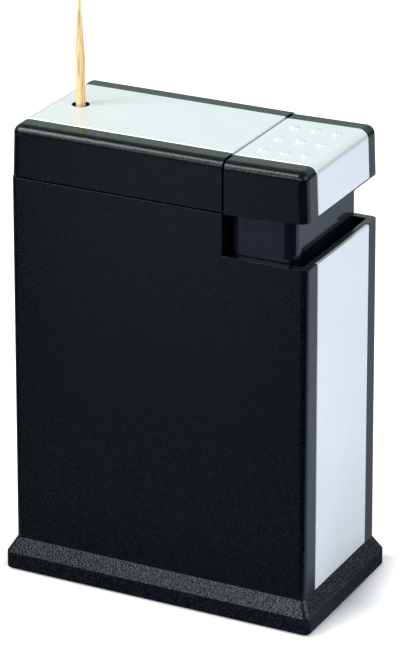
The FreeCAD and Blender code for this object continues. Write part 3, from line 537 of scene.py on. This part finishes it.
# ---------------------------------------------------------------- stage
def painted_mirror_level(graph):
    """Painted reflection, how glossy surfaces see the floor: the level, with painted shade at the plinth's
    foot, and the shares of the sides' and the far colour.
    """
    x, y, _ = graph.axes("Object")
    beyond_x = graph.compute("SUBTRACT", graph.compute("ABSOLUTE", x), PLINTH_HALF[0])
    beyond_y = graph.compute("SUBTRACT", graph.compute("ABSOLUTE", y), PLINTH_HALF[1])
    away = graph.compute("MAXIMUM", beyond_x, beyond_y)

    near = graph.ramp(away, NEAR_SPAN, MIRROR_CONTACT, MIRROR_NEAR)
    strip = graph.product(graph.compute("ADD", y, PLINTH_HALF[1]), STRIP_SLANT)
    beside = graph.compute("ABSOLUTE", graph.compute("SUBTRACT", x, strip))
    front = graph.product(graph.ramp(away, FRONT_SPAN, near, MIRROR_FRONT),
                          graph.ramp(beside, STRIP_SPAN, 1.0, MIRROR_BESIDE))

    clear = graph.ramp(away, FOOT_SPAN, *UNIT)
    line = graph.product(graph.compute("SUBTRACT", x, PLINTH_HALF[0]), SPLIT_SLOPE)
    across = graph.compute("SUBTRACT", y, line)
    sides = graph.product(graph.ramp(clear, UNIT, MIRROR_FOOT, 1.0),
                          graph.ramp(away, SIDES_SPAN, SIDES_START * MIRROR_SIDES, MIRROR_SIDES),
                          graph.ramp(x, LEFT_SPAN, MIRROR_LEFT, 1.0),
                          graph.ramp(across, SPLIT_SPAN, *SPLIT_SHARES),
                          graph.ramp(away, DISTANT_SPAN, 1.0, MIRROR_DISTANT))

    side = graph.ramp(y, SIDE_SPAN, *UNIT)
    far = graph.ramp(away, FAR_SPAN, *UNIT)
    return graph.ramp(side, UNIT, front, sides), graph.product(side, clear), far


def painted_contact_shade(graph):
    """Painted contact shadow: 0 where the floor meets the plinth at its sides and back, 1 in front and
    further away.
    """
    x, y, _ = graph.axes("Object")
    right = graph.compute("ADD", graph.compute("SUBTRACT", x, PLINTH_HALF[0]),
                          graph.product(graph.compute("ABSOLUTE", y), SHADE_SKEW))
    left = graph.product(graph.compute("ADD", x, PLINTH_HALF[0]), SHADE_LEFT)
    behind = graph.product(graph.compute("SUBTRACT", y, PLINTH_HALF[1]), SHADE_BEHIND)
    distance = graph.compute("MAXIMUM", graph.compute("MAXIMUM", right, left), behind)
    clear = graph.ramp(distance, (0.0, SHADE_REACH), *UNIT)
    front_edge = (-PLINTH_HALF[1] - SHADE_AHEAD, -PLINTH_HALF[1] + SHADE_AHEAD)
    return graph.compute("MAXIMUM", clear, graph.ramp(y, front_edge, 1.0, 0.0))


def make_floor():
    """Large pale floor that keeps the lamps' shadow; it has a painted contact shadow at the plinth and a
    painted reflection for glossy rays.
    """
    mesh = bpy.data.meshes.new("floor")
    corners = [(x * FLOOR_HALF, y * FLOOR_HALF, 0) for x, y in ((-1, -1), (1, -1), (1, 1), (-1, 1))]
    mesh.from_pydata(corners, [], [(0, 1, 2, 3)])
    floor = bpy.data.objects.new("floor", mesh)
    bpy.context.scene.collection.objects.link(floor)
    material = bpy.data.materials.new("floor")
    material.use_nodes = True
    graph = Graph(material.node_tree)
    path = graph.add("ShaderNodeLightPath")

    diffuse = graph.add("ShaderNodeBsdfDiffuse")
    graph.feed(diffuse.inputs["Color"], FLOOR_COLOUR)
    lift = graph.add("ShaderNodeEmission")
    # the camera's lift, taken away where the contact shadow is painted
    open_floor = graph.product(painted_contact_shade(graph), FLOOR_LIFT)
    graph.link(graph.product(path.outputs["Is Camera Ray"], open_floor), lift.inputs["Strength"])
    seen = graph.add("ShaderNodeAddShader")
    graph.link(diffuse.outputs["BSDF"], seen.inputs[0])
    graph.link(lift.outputs["Emission"], seen.inputs[1])

    level, side, far = painted_mirror_level(graph)
    ahead = graph.blend(far, FLOOR_MIRROR_FRONT, FLOOR_MIRROR_FAR)
    # the floor glows for glossy rays only: a painted reflection
    mirror = graph.add("ShaderNodeEmission")
    graph.link(level, mirror.inputs["Strength"])
    graph.link(graph.blend(side, ahead, FLOOR_MIRROR), mirror.inputs["Color"])

    either = graph.compute("MAXIMUM", path.outputs["Is Glossy Ray"], path.outputs["Is Transmission Ray"])
    surface = graph.mix(either, seen.outputs["Shader"], mirror.outputs["Emission"])
    graph.link(surface, graph.add("ShaderNodeOutputMaterial").inputs["Surface"])
    mesh.materials.append(material)


def make_world():
    """White to the camera, even to matt surfaces; glossy ones see a sky that is bright behind the object."""
    world = bpy.data.worlds.new("studio")
    bpy.context.scene.world = world
    world.use_nodes = True
    graph = Graph(world.node_tree)
    white, even, sky = (graph.add("ShaderNodeBackground") for _ in range(3))
    graph.feed(white.inputs["Color"], (1.0, 1.0, 1.0))
    graph.feed(even.inputs["Color"], (SKY_EVEN, SKY_EVEN, SKY_EVEN))
    graph.feed(sky.inputs["Color"], SKY_MIRROR)
    _, y, z = graph.axes("Generated")
    rising = graph.ramp(z, SKY_RISE, SKY_HORIZON, SKY_BACK)
    level = graph.ramp(z, SKY_FALL, rising, SKY_TOP)
    graph.link(graph.product(level, graph.ramp(y, SKY_TURN, SKY_FRONT, 1.0)), sky.inputs["Strength"])
    path = graph.add("ShaderNodeLightPath")
    lit = graph.mix(path.outputs["Is Glossy Ray"], even.outputs["Background"], sky.outputs["Background"])
    surface = graph.mix(path.outputs["Is Camera Ray"], lit, white.outputs["Background"])
    graph.link(surface, graph.add("ShaderNodeOutputWorld").inputs["Surface"])


def make_lights():
    """Key box on the front left, a low fill for the plinth's slope, and a fill on the button's side."""
    for name, place, target, (width, height), power, colour in LAMPS:
        data = bpy.data.lights.new(name, "AREA")
        data.shape = "RECTANGLE"
        data.size = width
        data.size_y = height
        data.energy = power
        data.color = colour
        lamp = bpy.data.objects.new(name, data)
        bpy.context.scene.collection.objects.link(lamp)
        lamp.location = place
        aim = Vector(target) - Vector(place)
        lamp.rotation_euler = aim.to_track_quat("-Z", "Y").to_euler()


def make_camera():
    """Long lens at the studio view."""
    data = bpy.data.cameras.new("studio_camera")
    data.sensor_width = SENSOR
    data.lens = FOCAL_PIXELS * SENSOR / LONG_SIDE_PIXELS
    data.clip_start, data.clip_end = CAMERA_CLIP
    camera = bpy.data.objects.new("studio_camera", data)
    bpy.context.scene.collection.objects.link(camera)
    azimuth = math.radians(CAMERA_AZIMUTH)
    elevation = math.radians(CAMERA_ELEVATION)
    back = Vector((math.sin(azimuth) * math.cos(elevation), -math.cos(azimuth) * math.cos(elevation),
                   math.sin(elevation)))
    right = Vector((math.cos(azimuth), math.sin(azimuth), 0))
    upward = back.cross(right)
    turn = Matrix((right, upward, back)).transposed()
    roll = Matrix.Rotation(math.radians(CAMERA_ROLL), 3, "Z")
    camera.matrix_world = Matrix.Translation(CAMERA_PLACE) @ (turn @ roll).to_4x4()
    bpy.context.scene.camera = camera


make_camera()
make_world()
make_floor()
make_lights()
dress()
make_nubs()
make_spring()
bpy.context.scene.view_settings.view_transform = "Standard"
